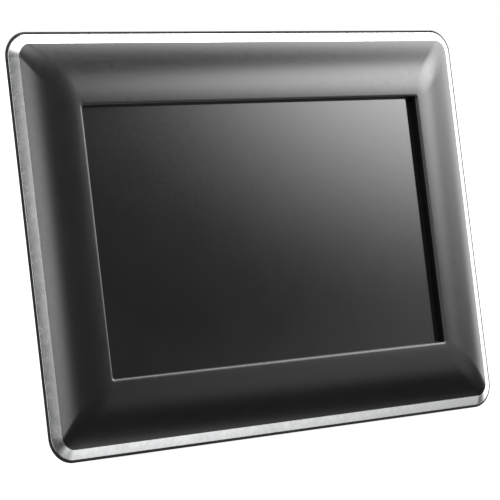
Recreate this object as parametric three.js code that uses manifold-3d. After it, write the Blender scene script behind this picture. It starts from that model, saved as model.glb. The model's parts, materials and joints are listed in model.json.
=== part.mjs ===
// Seven-inch digital photo frame that leans back on a folding rear leg. Millimetres, +Z up.
// Every piece is modelled in the face frame (X right, Y up the face, Z out towards the viewer, with Z = 0 at
// the front edge of the window), and one turned group then leans the whole object back on the table.
import * as THREE from "three";
import { mergeVertices } from "three/addons/utils/BufferGeometryUtils.js";
import Module from "manifold-3d";

const wasm = await Module();
wasm.setup();

// ---------- driving dimensions ----------
const LEAN = THREE.MathUtils.degToRad(10.6); // how far the face leans back from upright
const GAP = 0.3; // assembly gap between touching pieces
const OUTER = { x: 102, y: 72.35, radius: 9 }; // half sizes of the bezel outline, and its corner radius
const WINDOW = { x: 76.7, y: 46.2, radius: 0.8 }; // half sizes of the window
const ACTIVE_GLASS = { x: 81.4, y: 50.9 }; // half sizes of the display glass
const MODULE = { x: 82.5, y: 52 }; // half sizes of the display module's metal frame

// The bright trim's section: its width, and the Z of its inner edge, of its outer edge and of its back.
const TRIM = { width: 4.2, inner: -3.9, outer: -4.55, back: -6.3 };
const TRIM_ROUND = 0.8; // the trim's outer edge turns over within this distance
const CREASE = -4; // Z where the black face starts, inside the trim
const SWELL = 2.2; // the face rises from the crease to the window as a power of the distance
const BEZEL_WALL = 1.6;
const LIP = 2; // thickness of the wall around the window
// Where the face's curve is sampled, from the window outwards.
const FACE_INSETS = [21, 17, 13.5, 10.5, 8, 6];
const INSIDE_INSETS = [8, 11, 15, 19]; // the same for the bezel's inside, from the trim inwards

// The display module's layers, from the front: the Z of each one's front, and its thickness.
const GASKET = { front: -1.98, thickness: 0.52 };
const METAL_FRAME = { front: -2.65, thickness: 0.4, depth: 5.35, wall: 0.6 };
const GLASS = { front: -3.3, thickness: 1.3 };
const DIFFUSER = { front: -4.9, thickness: 0.5 };
const LIGHT_GUIDE = { front: -5.7, thickness: 2.4 };
const LED_STRIP = { front: -5.8, thickness: 2.1, height: 2.6 };
const BACKLIGHT_TRAY = { front: -8.4, thickness: 0.6 };
const MODULE_BRACKET = { front: -9.4, thickness: 0.8 };

const COVER_INSET = 4.4; // the rear cover starts this far inside the trim's outline
const REAR_FACE = -28.5;
const COVER_WALL = 2;
const REAR_INSIDE = REAR_FACE + COVER_WALL;

const BOARD = { x: 71, bottom: -44, top: 42, front: -16.2, thickness: 1.6 };
const BOARD_BACK = BOARD.front - BOARD.thickness;
const PORT_FACE = 71.8; // X of the sockets' mouths, just inside the cover's side wall

const HINGE = { y: 32, z: -32.5, pin: 1.5, knuckle: 3.6 }; // stand leg's hinge
const LEG = { length: 102, thickness: 3.8, top: 52, foot: 36, knuckle: 52, corner: 6 };
const LEG_HOLLOW = { middle: -46, width: 26, height: 56, radius: 5, floor: 1.2 }; // recess in the leg's back
const LEG_PAD = { height: 6, wall: 1.2, grip: 5 }; // rubber pad on the leg's end, and its reach up the leg
const TABLE_CLEARANCE = 0.4; // the bezel's edge stays this far above the table

const BUTTON = { proud: 1.1, flange: 0.8, travel: 0.7 };
// The direction pad's place and radii, and how far its middle key stands above the others.
const PAD = { x: -55, y: 22, radius: 13, hub: 5.2, ok: 4.7, okProud: 0.3 };

// ---------- materials ----------
const finish = (color, roughness, metalness = 0) =>
  new THREE.MeshStandardMaterial({ color, roughness, metalness });
const glossBlack = finish(0x17181a, 0.12);
const satinBlack = finish(0x1c1d1f, 0.45);
const keyGrey = finish(0x3a3c40, 0.4);
const rubber = finish(0x111111, 0.9);
const glassDark = finish(0x202224, 0.2);
const steel = finish(0xb4b6b8, 0.35, 1);
const brightSteel = finish(0xd0d2d4, 0.25, 1);
const boardGreen = finish(0x1e5a34, 0.5);
const chipBlack = finish(0x1a1a1c, 0.6);
const brightTrim = finish(0xc9cbcd, 0.2, 1);
const clearPlastic = finish(0xe6eef0, 0.1);
const whiteFilm = finish(0xf2f2f0, 0.6);
const ribbonTan = finish(0xb8782e, 0.4);

// ---------- solids ----------
// A closed three.js geometry as a manifold-3d solid.
function solid(geometry) {
  const bare = geometry.index ? geometry.toNonIndexed() : geometry.clone();
  bare.deleteAttribute("normal");
  bare.deleteAttribute("uv");
  const merged = mergeVertices(bare, 1e-4);
  const vertProperties = merged.attributes.position.array;
  const triVerts = new Uint32Array(merged.index.array);
  return new wasm.Manifold(new wasm.Mesh({ numProp: 3, vertProperties, triVerts }));
}

function geometryOf(body) {
  const { numProp, numVert, vertProperties, triVerts } = body.getMesh();
  const positions = new Float32Array(numVert * 3);
  for (let i = 0; i < numVert; i++)
    positions.set(vertProperties.subarray(i * numProp, i * numProp + 3), i * 3);
  const geometry = new THREE.BufferGeometry();
  geometry.setAttribute("position", new THREE.BufferAttribute(positions, 3));
  geometry.setIndex(new THREE.BufferAttribute(triVerts, 1));
  geometry.computeVertexNormals();
  return geometry;
}

const join = (first, ...others) => others.reduce((sum, other) => sum.add(other), first);
const cut = (first, ...others) => others.reduce((left, other) => left.subtract(other), first);

function block(x0, x1, y0, y1, z0, z1) {
  const box = new THREE.BoxGeometry(x1 - x0, y1 - y0, z1 - z0);
  return solid(box.translate((x0 + x1) / 2, (y0 + y1) / 2, (z0 + z1) / 2));
}

// A block centred on (x, y) from z0 to z1.
const slab = (x, y, width, height, z0, z1) =>
  block(x - width / 2, x + width / 2, y - height / 2, y + height / 2, z0, z1);

// A cylinder along Z at (x, y).
function post(x, y, radius, z0, z1, segments = 20) {
  const cylinder = new THREE.CylinderGeometry(radius, radius, z1 - z0, segments);
  return solid(cylinder.rotateX(Math.PI / 2).translate(x, y, (z0 + z1) / 2));
}

// A cylinder along X at (y, z).
function rod(y, z, radius, x0, x1, segments = 20) {
  const cylinder = new THREE.CylinderGeometry(radius, radius, x1 - x0, segments);
  return solid(cylinder.rotateZ(Math.PI / 2).translate((x0 + x1) / 2, y, z));
}

function prism(shape, z0, z1, curveSegments = 6) {
  const settings = { depth: z1 - z0, bevelEnabled: false, curveSegments };
  return solid(new THREE.ExtrudeGeometry(shape, settings).translate(0, 0, z0));
}

function roundedRectangle(x, y, width, height, radius) {
  const [left, right] = [x - width / 2, x + width / 2];
  const [low, high] = [y - height / 2, y + height / 2];
  const shape = new THREE.Shape();
  shape.absarc(right - radius, low + radius, radius, -Math.PI / 2, 0);
  shape.absarc(right - radius, high - radius, radius, 0, Math.PI / 2);
  shape.absarc(left + radius, high - radius, radius, Math.PI / 2, Math.PI);
  shape.absarc(left + radius, low + radius, radius, Math.PI, Math.PI * 1.5);
  return shape;
}

// A side profile in the YZ plane, given as [y, z] points, extruded along X from x0 to x1.
function sideProfile(points, x0, x1) {
  const outline = new THREE.Shape(points.map(([y, z]) => new THREE.Vector2(y, z)));
  const settings = { depth: x1 - x0, bevelEnabled: false };
  const turned = new THREE.ExtrudeGeometry(outline, settings);
  // shape X -> Y, shape Y -> Z, depth -> X
  turned.applyMatrix4(new THREE.Matrix4().set(0, 0, 1, x0, 1, 0, 0, 0, 0, 1, 0, 0, 0, 0, 0, 1));
  return solid(turned);
}

// Points of a rounded rectangle at height z, counter-clockwise seen from +Z.
function ring(halfX, halfY, radius, z, cornerSteps = 7) {
  const points = [];
  for (let corner = 0; corner < 4; corner++) {
    const signX = corner === 1 || corner === 2 ? -1 : 1;
    const signY = corner > 1 ? -1 : 1;
    for (let step = 0; step <= cornerSteps; step++) {
      const angle = (corner + step / cornerSteps) * (Math.PI / 2);
      const x = signX * (halfX - radius) + radius * Math.cos(angle);
      const y = signY * (halfY - radius) + radius * Math.sin(angle);
      points.push([x, y, z]);
    }
  }
  return points;
}

// A skin through rings of equal length. A loop's last ring joins its first.
// Otherwise both ends get a flat cap.
function loft(rings, isLoop) {
  const count = rings[0].length;
  const index = [];
  const spans = isLoop ? rings.length : rings.length - 1;
  for (let i = 0; i < spans; i++) {
    const next = (i + 1) % rings.length;
    for (let j = 0; j < count; j++) {
      const k = (j + 1) % count;
      const [a, b, c, d] = [i * count + j, next * count + j, next * count + k, i * count + k];
      index.push(a, b, c, a, c, d);
    }
  }
  if (!isLoop) {
    const last = (rings.length - 1) * count;
    for (let j = 1; j < count - 1; j++) {
      index.push(0, j, j + 1);
      index.push(last, last + j + 1, last + j);
    }
  }
  const geometry = new THREE.BufferGeometry();
  geometry.setAttribute("position", new THREE.Float32BufferAttribute(rings.flat(2), 3));
  geometry.setIndex(index);
  return solid(geometry);
}

// A pan-head screw along Z: its head's underside is at seat, and its shank runs towards +Z.
function screw(x, y, seat, head, shank) {
  const profile = [
    [0, -head.height],
    [head.radius * 0.7, -head.height],
    [head.radius, -head.height * 0.55],
    [head.radius, 0],
    [shank.radius, 0],
    [shank.radius, shank.length - shank.radius],
    [0, shank.length],
  ].map(([radius, along]) => new THREE.Vector2(radius, along));
  return solid(new THREE.LatheGeometry(profile, 14).rotateX(Math.PI / 2).translate(x, y, seat));
}

// ---------- the assembly's groups ----------
const photoFrame = new THREE.Group();
const face = new THREE.Group(); // the leaning body, in the face frame
face.rotation.x = Math.PI / 2 - LEAN;
photoFrame.add(face);

function piece(name, body, material, parent = face) {
  const mesh = new THREE.Mesh(geometryOf(body), material);
  mesh.name = name;
  parent.add(mesh);
  return mesh;
}

// ---------- front bezel ----------
const BORDER = OUTER.x - WINDOW.x; // width of the border at the sides
const EDGE_BREAK = 0.4; // small chamfer on the window's front edge

// Height of the bezel's front surface at a distance inside the trim's outline.
function frontHeight(inset) {
  const share = (inset - TRIM.width) / (BORDER - TRIM.width);
  return CREASE * (1 - share) ** SWELL;
}

// The outline shrinks to the window, and its corners tighten as it does.
function bezelRing(inset, z) {
  const share = inset / BORDER;
  const halfY = THREE.MathUtils.lerp(OUTER.y, WINDOW.y, share);
  const radius = THREE.MathUtils.lerp(OUTER.radius, WINDOW.radius, share);
  return ring(OUTER.x - inset, halfY, radius, z);
}

// The screws' places, and the bezel's posts that they go into: radius, bore, and the Z of back and front.
const CASE_SCREW = { x: 88, y: 58.35, seat: -8.3, well: 3.1, clearance: 1.6, boss: 4.4 };
const CASE_POST = { radius: 3.2, bore: 1.5, back: -6.1, front: -2, boreEnd: -3 };
const BRACKET_SCREW = { x: 86, y: 26 };
const BRACKET_POST = { radius: 2.3, bore: 1.4, back: MODULE_BRACKET.front + GAP, front: -2, boreEnd: -4 };
const corners = [
  [1, 1],
  [-1, 1],
  [-1, -1],
  [1, -1],
];

// A bevelled ring round the black face, with its outer edge turned over.
function trimRing() {
  const inner = TRIM.width - GAP;
  const section = [
    [0, TRIM.outer - TRIM_ROUND],
    [TRIM_ROUND / 2, TRIM.back],
    [inner, TRIM.back],
    [inner, TRIM.inner],
    [TRIM_ROUND, TRIM.outer],
    [TRIM_ROUND / 4, TRIM.outer - TRIM_ROUND / 4],
  ];
  return loft(
    section.map(([inset, z]) => bezelRing(inset, z)),
    true,
  );
}

function frontBezel() {
  const crown = frontHeight(BORDER - EDGE_BREAK);
  const inside = (inset) => frontHeight(inset) - BEZEL_WALL;
  const rings = [
    bezelRing(TRIM.width, CREASE),
    bezelRing(TRIM.width, TRIM.back),
    bezelRing(TRIM.width + BEZEL_WALL, TRIM.back),
    ...INSIDE_INSETS.map((inset) => bezelRing(inset, inside(inset))),
    bezelRing(BORDER - LIP, inside(BORDER - LIP)),
    bezelRing(BORDER - LIP, GLASS.front + GAP),
    bezelRing(BORDER, GLASS.front + GAP),
    bezelRing(BORDER, crown - EDGE_BREAK),
    bezelRing(BORDER - EDGE_BREAK, crown),
    ...FACE_INSETS.map((inset) => bezelRing(inset, frontHeight(inset))),
  ];
  const shell = loft(rings, true);
  const posts = (screwAt, { radius, bore, back, front, boreEnd }) =>
    corners.map(([sx, sy]) => {
      const [x, y] = [sx * screwAt.x, sy * screwAt.y];
      return cut(post(x, y, radius, back, front, 14), post(x, y, bore, back - 1, boreEnd, 12));
    });
  return join(shell, ...posts(CASE_SCREW, CASE_POST), ...posts(BRACKET_SCREW, BRACKET_POST));
}

piece("trim_ring", trimRing(), brightTrim);
piece("front_bezel", frontBezel(), glossBlack);

// ---------- display module ----------
function frameOf(outer, inner, z0, z1) {
  return cut(
    block(-outer.x, outer.x, -outer.y, outer.y, z0, z1),
    block(-inner.x, inner.x, -inner.y, inner.y, z0 - 1, z1 + 1),
  );
}

const lipOutside = { x: WINDOW.x + LIP + GAP, y: WINDOW.y + LIP + GAP };
const insideWall = { x: MODULE.x - METAL_FRAME.wall, y: MODULE.y - METAL_FRAME.wall };
const film = { x: 80.5, y: 50 }; // half sizes of the sheets behind the glass
const LED_INSET = 2; // the lamp strip stops this far from the sheets' ends
const layer = (half, { front, thickness }) =>
  block(-half.x, half.x, -half.y, half.y, front - thickness, front);
const layerFrame = (outer, inner, { front, thickness }) =>
  frameOf(outer, inner, front - thickness, front);

piece("screen_gasket", layerFrame(MODULE, lipOutside, GASKET), rubber);
piece("lcd_glass", layer(ACTIVE_GLASS, GLASS), glassDark);
const frontFlange = layerFrame(MODULE, lipOutside, METAL_FRAME);
const walls = layerFrame(MODULE, insideWall, { ...METAL_FRAME, thickness: METAL_FRAME.depth });
piece("lcd_metal_frame", join(frontFlange, walls), steel);
piece("diffuser_sheet", layer(film, DIFFUSER), whiteFilm);

// The light guide stands on the strip of lamps along the module's lower edge.
const lampTop = LED_STRIP.height - film.y;
const guideBack = LIGHT_GUIDE.front - LIGHT_GUIDE.thickness;
const stripBack = LED_STRIP.front - LED_STRIP.thickness;
const guide = block(-film.x, film.x, lampTop + GAP, film.y, guideBack, LIGHT_GUIDE.front);
piece("light_guide", guide, clearPlastic);
const lamps = block(LED_INSET - film.x, film.x - LED_INSET, -film.y, lampTop, stripBack, LED_STRIP.front);
piece("led_strip", lamps, whiteFilm);
piece("backlight_tray", layer(MODULE, BACKLIGHT_TRAY), steel);

const bracketBack = MODULE_BRACKET.front - MODULE_BRACKET.thickness;
const BRACKET_PLATE = { x: 80.5, width: 16, height: 60 };
const BRACKET_SLOT = { x: 78, width: 6, height: 32 }; // opening that lightens the plate
for (const [side, sign] of [
  ["left", -1],
  ["right", 1],
]) {
  const { x, width, height } = BRACKET_PLATE;
  const plate = slab(sign * x, 0, width, height, bracketBack, MODULE_BRACKET.front);
  const holes = [-1, 1].map((sy) => {
    const [holeX, holeY] = [sign * BRACKET_SCREW.x, sy * BRACKET_SCREW.y];
    return post(holeX, holeY, BRACKET_POST.bore, bracketBack - 1, -8, 12);
  });
  const slot = BRACKET_SLOT;
  const opening = slab(sign * slot.x, 0, slot.width, slot.height, bracketBack - 1, -8);
  piece(`lcd_bracket_${side}`, cut(plate, ...holes, opening), steel);
}

const smallHead = { radius: 2.1, height: 1.2 };
const bracketShank = { radius: 1.05, length: 6 };
corners.forEach(([sx, sy], i) => {
  const [x, y] = [sx * BRACKET_SCREW.x, sy * BRACKET_SCREW.y];
  const body = screw(x, y, bracketBack - GAP, smallHead, bracketShank);
  piece(`bracket_screw_${i + 1}`, body, brightSteel);
});

// ---------- rear cover ----------
// Each step of the cover's profile: how far it is inside the trim's outline, the corner radius, and Z.
const COVER_OUTSIDE = [
  { x: COVER_INSET, y: COVER_INSET, radius: 7.6, z: -6.6 },
  { x: COVER_INSET, y: COVER_INSET, radius: 7.6, z: -8 },
  { x: 14, y: 12, radius: 11, z: -17 },
  { x: 27, y: 22, radius: 10, z: -18 },
  { x: 28.5, y: 23.5, radius: 9, z: -26 },
  { x: 31, y: 26, radius: 7, z: REAR_FACE },
];
const COVER_INSIDE = [
  { x: 6.4, y: 6.4, radius: 5.8, z: -6 },
  { x: 6.4, y: 6.4, radius: 5.8, z: -7.2 },
  { x: 15, y: 13, radius: 9.5, z: -15.2 },
  { x: 29, y: 24, radius: 8.5, z: -16.2 },
  { x: 30.4, y: 25.4, radius: 7.5, z: -25.2 },
  { x: 32, y: 27, radius: 6, z: REAR_INSIDE },
];
const coverLoft = (steps) =>
  loft(
    steps.map((step) => ring(OUTER.x - step.x, OUTER.y - step.y, step.radius, step.z)),
    false,
  );

const SPEAKER = { x: 46, y: -25, radius: 12.5 };
const KEYHOLE = { x: 42, y: 36, head: 3.6, slot: 1.9, rise: 6 };
const SLOT = { rows: 2, pitch: 3.8, height: 1.8, margin: 1 }; // the speaker grilles' slots
const VENT = { x: 55, y: 4, pitch: 5.2, width: 24, height: 2, count: 5 };
const DC_JACK = { y: -20, z: -21.6, hole: 3.4, mouth: -71.2, back: -59.2, halfY: 4.5, halfZ: 3.5 };
// Openings in the side walls: the middle and the half sizes of each.
const SWITCH = { y: -37, z: -21.5, halfY: 4, halfZ: 1.6 };
const CARD = { y: 20, z: -20.4, halfY: 12.9, halfZ: 1.7 };
const USB_HOST = { y: -6, z: -21.4, halfY: 7, halfZ: 3.3 };
const USB_DEVICE = { y: -27, z: -20.4, halfY: 4.4, halfZ: 2.3 };
const SIDE_WALL = { inside: 70, outside: 80 }; // X range that crosses a side wall and nothing else
const SMALL_KEY = { y: -2, width: 12, height: 5.4 };
const SMALL_KEYS = { menu: -62.5, back: -47.5 };
const BOARD_SCREWS = [
  [-30, 38],
  [30, -38],
];
const BOARD_SCREW = { bore: 1.5, post: 3 };
const BRACKET_FOOT = { x: 33.2, y: HINGE.y + 8.5, bore: 1.5 };

const throughRear = (shape, segments = 6) =>
  prism(shape, REAR_FACE - 1, REAR_INSIDE + 1, segments);

// Parallel slots that fill a circle.
function grille(x, y, radius) {
  const slots = [];
  for (let row = -SLOT.rows; row <= SLOT.rows; row++) {
    const offset = row * SLOT.pitch;
    const width = 2 * (Math.sqrt(radius ** 2 - offset ** 2) - SLOT.margin);
    slots.push(throughRear(roundedRectangle(x, y + offset, width, SLOT.height, 0.85), 2));
  }
  return slots;
}

function keyhole(x) {
  const outline = new THREE.Shape();
  const halfAngle = Math.asin(KEYHOLE.slot / KEYHOLE.head);
  outline.absarc(x, KEYHOLE.y, KEYHOLE.head, Math.PI / 2 + halfAngle, Math.PI * 2.5 - halfAngle);
  outline.absarc(x, KEYHOLE.y + KEYHOLE.rise, KEYHOLE.slot, 0, Math.PI);
  return throughRear(outline, 14);
}

// An opening through the right side wall, or through the left one.
function sideOpening({ y, z, halfY, halfZ }, isLeft) {
  const { inside, outside } = SIDE_WALL;
  const [x0, x1] = isLeft ? [-outside, -inside] : [inside, outside];
  return block(x0, x1, y - halfY, y + halfY, z - halfZ, z + halfZ);
}

function keyOpenings() {
  const smallKeys = Object.values(SMALL_KEYS).map((x) => {
    const [width, height] = [SMALL_KEY.width + 2 * GAP, SMALL_KEY.height + 2 * GAP];
    return throughRear(roundedRectangle(x, SMALL_KEY.y, width, height, 2.6), 5);
  });
  return [
    post(PAD.x, PAD.y, PAD.radius + GAP, REAR_FACE - 1, REAR_INSIDE + 1, 32),
    ...smallKeys,
  ];
}

// The case screws' wells, and the narrower holes at their bottoms.
const screwWells = () =>
  corners.flatMap(([sx, sy]) => {
    const [x, y] = [sx * CASE_SCREW.x, sy * CASE_SCREW.y];
    return [
      post(x, y, CASE_SCREW.well, -20, -8, 16),
      post(x, y, CASE_SCREW.clearance, -9, -6, 12),
    ];
  });

function rearCover() {
  const outside = coverLoft(COVER_OUTSIDE);
  const bosses = corners.map(([sx, sy]) =>
    post(sx * CASE_SCREW.x, sy * CASE_SCREW.y, CASE_SCREW.boss, -20, -6.4, 16).intersect(outside),
  );
  const boardPosts = BOARD_SCREWS.map(([x, y]) =>
    post(x, y, BOARD_SCREW.post, REAR_INSIDE - 0.5, BOARD_BACK - GAP, 14),
  );
  const shell = cut(outside, coverLoft(COVER_INSIDE));
  const boardHoles = BOARD_SCREWS.map(([x, y]) => post(x, y, BOARD_SCREW.bore, -24, -17, 12));
  const bracketHoles = [-1, 1].map((side) => {
    const { x, y, bore } = BRACKET_FOOT;
    return post(side * x, y, bore, REAR_FACE - 1, REAR_INSIDE + 1, 12);
  });
  const vents = Array.from({ length: VENT.count }, (_, row) => {
    const y = VENT.y + row * VENT.pitch;
    return throughRear(roundedRectangle(VENT.x, y, VENT.width, VENT.height, 0.95), 2);
  });
  return cut(
    join(shell, ...bosses, ...boardPosts),
    ...screwWells(),
    ...boardHoles,
    ...bracketHoles,
    ...vents,
    ...grille(SPEAKER.x, SPEAKER.y, SPEAKER.radius),
    ...grille(-SPEAKER.x, SPEAKER.y, SPEAKER.radius),
    ...[-1, 1].map((side) => keyhole(side * KEYHOLE.x)),
    ...keyOpenings(),
    rod(DC_JACK.y, DC_JACK.z, DC_JACK.hole, -SIDE_WALL.outside, -SIDE_WALL.inside, 24),
    sideOpening(SWITCH, true),
    ...[CARD, USB_HOST, USB_DEVICE].map((opening) => sideOpening(opening, false)),
  );
}

piece("rear_cover", rearCover(), satinBlack);

const caseHead = { radius: 2.7, height: 1.5 };
const caseShank = { radius: 1.2, length: 4.6 };
corners.forEach(([sx, sy], i) => {
  const [x, y] = [sx * CASE_SCREW.x, sy * CASE_SCREW.y];
  const body = screw(x, y, CASE_SCREW.seat, caseHead, caseShank);
  piece(`case_screw_${i + 1}`, body, steel);
});

// ---------- electronics ----------
function mainBoard() {
  const plate = block(-BOARD.x, BOARD.x, BOARD.bottom, BOARD.top, BOARD_BACK, BOARD.front);
  const holes = BOARD_SCREWS.map(([x, y]) =>
    post(x, y, BOARD_SCREW.bore, BOARD_BACK - 1, BOARD.front + 1, 12),
  );
  return cut(plate, ...holes);
}

piece("main_board", mainBoard(), boardGreen);
const boardShank = { radius: 1.1, length: 6 };
BOARD_SCREWS.forEach(([x, y], i) => {
  // these go in from the front, so the screw is turned round
  const turned = screw(0, 0, 0, smallHead, boardShank).rotate([180, 0, 0]);
  const body = turned.translate([x, y, BOARD.front + GAP]);
  piece(`board_screw_${i + 1}`, body, brightSteel);
});

const onBoard = BOARD_BACK - GAP; // Z where a component on the back of the main board starts
const PROCESSOR = { x: 6, y: 8, width: 20, height: 20, thickness: 1.4 };
const MEMORY = { x: 6, y: -16, width: 11, height: 18, thickness: 1.2 };
const CONNECTOR = { x: 0, y: -33, width: 34, height: 5, thickness: 1.6 };
const chip = ({ x, y, width, height, thickness }) =>
  slab(x, y, width, height, onBoard - thickness, onBoard);
piece("processor_chip", chip(PROCESSOR), chipBlack);
piece("memory_chip", chip(MEMORY), chipBlack);
const connectorFront = BOARD.front + GAP + CONNECTOR.thickness;
piece(
  "ribbon_connector",
  slab(CONNECTOR.x, CONNECTOR.y, CONNECTOR.width, CONNECTOR.height, BOARD.front + GAP, connectorFront),
  whiteFilm,
);

// The display's flat cable runs from the glass, round the module's lower edge, to the board.
function flatCable(route, thickness, x0, x1) {
  const left = [];
  const right = [];
  route.forEach(([y, z], i) => {
    const before = route[Math.max(i - 1, 0)];
    const after = route[Math.min(i + 1, route.length - 1)];
    const along = new THREE.Vector2(after[0] - before[0], after[1] - before[1]).normalize();
    const side = along.rotateAround(new THREE.Vector2(), Math.PI / 2).multiplyScalar(thickness / 2);
    left.push([y + side.x, z + side.y]);
    right.unshift([y - side.x, z - side.y]);
  });
  return sideProfile([...left, ...right], x0, x1);
}

const RIBBON = { thickness: 0.3, half: 15 };
// (Y, Z) points along the cable
const ribbonRoute = [
  [-52.9, -3.7],
  [-53.8, -4.7],
  [-54.1, -8],
  [-53.7, -11.2],
  [-52.2, -13.2],
  [-49, -14.2],
  [-35.9, -15],
];
const ribbon = flatCable(ribbonRoute, RIBBON.thickness, -RIBBON.half, RIBBON.half);
piece("lcd_ribbon", ribbon, ribbonTan);

// A box of half sizes halfY by halfZ round (y, z), from a depth behind the sockets' mouths to a reach.
const behindMouth = ({ y, z }, halfY, halfZ, depth, reach = 0) =>
  block(PORT_FACE - depth, PORT_FACE + reach, y - halfY, y + halfY, z - halfZ, z + halfZ);

const CARD_SOCKET = { back: -22.1, halfY: 14, depth: 28 };
function cardSocket() {
  const { back, halfY, depth } = CARD_SOCKET;
  const shell = block(PORT_FACE - depth, PORT_FACE, CARD.y - halfY, CARD.y + halfY, back, onBoard);
  return cut(shell, behindMouth(CARD, 12.3, 1.2, 25, 1));
}

function usbHostSocket() {
  const shell = behindMouth(USB_HOST, 6.6, 3.1, 14);
  const mouth = behindMouth(USB_HOST, 6.1, 2.6, 11, 1);
  const tongueAt = { y: USB_HOST.y, z: USB_HOST.z + 1.2 };
  return join(cut(shell, mouth), behindMouth(tongueAt, 5.5, 0.9, 12, -1));
}

function usbDeviceSocket() {
  const shell = behindMouth(USB_DEVICE, 4, 2, 9);
  const mouth = behindMouth(USB_DEVICE, 3.5, 1.5, 7, 1);
  return join(cut(shell, mouth), behindMouth(USB_DEVICE, 2.6, 0.4, 8, -1.5));
}

function dcJack() {
  const { y, z, mouth, back, halfY, halfZ } = DC_JACK;
  const body = block(mouth, back, y - halfY, y + halfY, z - halfZ, z + halfZ);
  const barrel = rod(y, z, 2.8, mouth - 1, back - 3, 24);
  const pin = rod(y, z, 0.9, mouth + 1, back - 2, 12);
  return join(cut(body, barrel), pin);
}

piece("card_socket", cardSocket(), brightSteel);
piece("usb_host_socket", usbHostSocket(), brightSteel);
piece("usb_device_socket", usbDeviceSocket(), brightSteel);
piece("dc_jack", dcJack(), chipBlack);

const SWITCH_BODY = { left: -70.9, right: -65.5, halfY: 5.5, back: -24 };
const SLIDER = { x: -73.5, width: 4.6, height: 3.6, halfZ: 1.2, throw: 3 };
const switchBody = () => {
  const { left, right, halfY, back } = SWITCH_BODY;
  return block(left, right, SWITCH.y - halfY, SWITCH.y + halfY, back, onBoard);
};
piece("power_switch_body", switchBody(), chipBlack);
// the slider is at the off end of its throw
const sliderAt = [SLIDER.x, SWITCH.y - SLIDER.throw / 2, SWITCH.z];
const slider = slab(0, 0, SLIDER.width, SLIDER.height, -SLIDER.halfZ, SLIDER.halfZ);
piece("power_switch_slider", slider.translate(sliderAt), keyGrey);

for (const [side, sign] of [
  ["left", -1],
  ["right", 1],
]) {
  const back = REAR_INSIDE + GAP;
  const profile = [
    [0, back + 1.6],
    [3.2, back + 1.4],
    [7, back + 0.5],
    [9.4, back],
    [SPEAKER.radius, back],
    [SPEAKER.radius, back + 1.6],
    [9.6, back + 3.2],
    [6.5, back + 3.4],
    [6.5, back + 5.8],
    [0, back + 5.8],
  ].map(([radius, z]) => new THREE.Vector2(radius, z));
  const turned = new THREE.LatheGeometry(profile, 28).rotateX(Math.PI / 2);
  piece(`speaker_${side}`, solid(turned.translate(sign * SPEAKER.x, SPEAKER.y, 0)), chipBlack);
}

// ---------- keys ----------
const KEY_BOARD = { left: -71, right: -40.5, bottom: -6.5, top: 36, front: -20.5, back: -21.7 };
const KEY_SWITCH = { size: 5.6, back: -23.6, plunger: 1.6, tip: -24.4 };
const { left: boardLeft, right: boardRight, bottom: boardBottom, top: boardTop } = KEY_BOARD;
piece(
  "key_board",
  block(boardLeft, boardRight, boardBottom, boardTop, KEY_BOARD.back, KEY_BOARD.front),
  boardGreen,
);

const flangeFront = REAR_INSIDE + GAP + BUTTON.flange;
const capBack = REAR_FACE - BUTTON.proud;

// A quarter of the direction pad: a ring sector with a flange behind the cover's edge.
function padKey(middle) {
  const sector = (outer, inner, z0, z1) => {
    const half = Math.PI / 4;
    const outerTrim = Math.asin(GAP / outer);
    const innerTrim = Math.asin(GAP / inner);
    const shape = new THREE.Shape();
    shape.absarc(PAD.x, PAD.y, outer, middle - half + outerTrim, middle + half - outerTrim);
    shape.absarc(PAD.x, PAD.y, inner, middle + half - innerTrim, middle - half + innerTrim, true);
    return prism(shape, z0, z1, 8);
  };
  return join(
    sector(PAD.radius, PAD.hub, capBack, flangeFront),
    sector(PAD.radius + 1, PAD.hub, REAR_INSIDE + GAP, flangeFront),
  );
}

const keySwitch = (x, y) =>
  join(
    slab(x, y, KEY_SWITCH.size, KEY_SWITCH.size, KEY_SWITCH.back, KEY_BOARD.back - GAP),
    post(x, y, KEY_SWITCH.plunger, KEY_SWITCH.tip, KEY_SWITCH.back + 0.2, 14),
  );

const directions = { up: 1, left: 2, down: 3, right: 0 };
for (const [name, quarter] of Object.entries(directions)) {
  const middle = (quarter * Math.PI) / 2;
  const reach = (PAD.radius + PAD.hub) / 2;
  piece(`button_${name}`, padKey(middle), keyGrey);
  const [x, y] = [PAD.x + reach * Math.cos(middle), PAD.y + reach * Math.sin(middle)];
  piece(`key_switch_${name}`, keySwitch(x, y), chipBlack);
}
const okBack = capBack - PAD.okProud;
piece("button_ok", post(PAD.x, PAD.y, PAD.ok, okBack, flangeFront, 28), keyGrey);
piece("key_switch_ok", keySwitch(PAD.x, PAD.y), chipBlack);

for (const [name, x] of Object.entries(SMALL_KEYS)) {
  const { y, width, height } = SMALL_KEY;
  const cap = prism(roundedRectangle(x, y, width, height, 2.4), capBack, flangeFront, 5);
  const flange = slab(x, y, width + 2, height + 1.6, REAR_INSIDE + GAP, flangeFront);
  piece(`button_${name}`, join(cap, flange), keyGrey);
  piece(`key_switch_${name}`, keySwitch(x, y), chipBlack);
}

// ---------- stand ----------
const EAR = { inside: 27.3, outside: 30.3 };
const BAR = { half: 37, bottom: HINGE.y + 5.2, top: HINGE.y + 11.8, back: -31.4 };
const WASHER = { inside: 26.35, thickness: 0.6, radius: HINGE.knuckle - 0.4 };

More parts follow.
